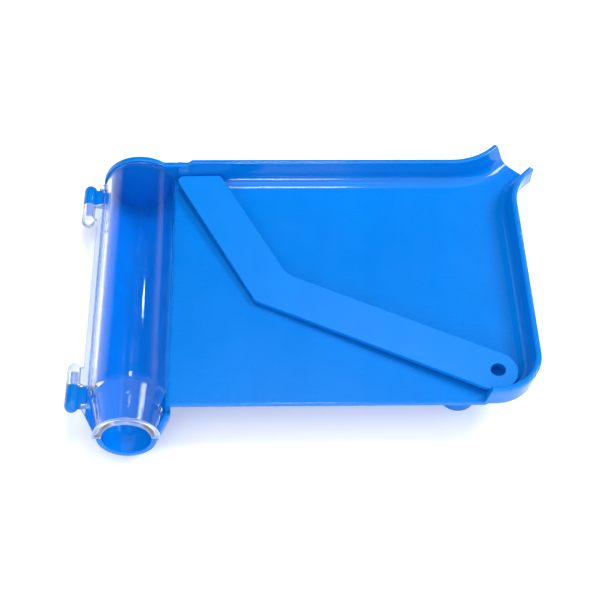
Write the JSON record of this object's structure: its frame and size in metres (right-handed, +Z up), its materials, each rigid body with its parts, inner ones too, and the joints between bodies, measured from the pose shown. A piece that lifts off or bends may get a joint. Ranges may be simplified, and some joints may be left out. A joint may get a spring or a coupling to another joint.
{
  "type": "tablet counting tray",
  "caption": "Flat platform with a raised rim and a rear corner pouring chute, a side trough with a front spout under a hinged clear cover, and a loose bent spatula for counting tablets.",
  "frame": {"origin": "bottom centre of the overall box, on the surface that the tray stands on, with the cover closed and the spatula lying on the platform", "axes": "+X to the right, from the trough to the right wall; +Y to the rear, towards the back wall; +Z up"},
  "size_m": [0.2298, 0.1706, 0.0385],
  "materials": {
    "tray_blue": "moulded blue plastic with a soft gloss",
    "spatula_blue": "moulded blue plastic sheet with a soft gloss",
    "cover_clear": "clear polished plastic"
  },
  "bodies": {
    "tray": {"counting_platform": "tray_blue", "back_wall": "tray_blue", "rear_flare_wall": "tray_blue", "pour_chute": "tray_blue", "right_flare_wall": "tray_blue", "right_wall": "tray_blue", "front_corner_wall": "tray_blue", "front_return_wall": "tray_blue", "collection_trough": "tray_blue", "trough_spout": "tray_blue", "trough_end_wall": "tray_blue", "rear_hinge_knuckle": "tray_blue", "front_hinge_knuckle": "tray_blue", "front_foot": "tray_blue", "rear_foot": "tray_blue"},
    "cover": {"cover_shell": "cover_clear", "cover_rear_knuckle": "cover_clear", "cover_front_knuckle": "cover_clear"},
    "spatula": {"spatula": "spatula_blue"}
  },
  "joints": [
    {"name": "cover_hinge", "type": "hinge", "parent": "tray", "child": "cover", "pos_m": [-0.11163, 0.00192, 0.01925], "axis": [0, -1, 0], "range_deg": [0, 175]},
    {"name": "spatula_lift", "type": "slide", "parent": "tray", "child": "spatula", "axis": [0, 0, 1], "range_m": [0, 0.06]}
  ]
}
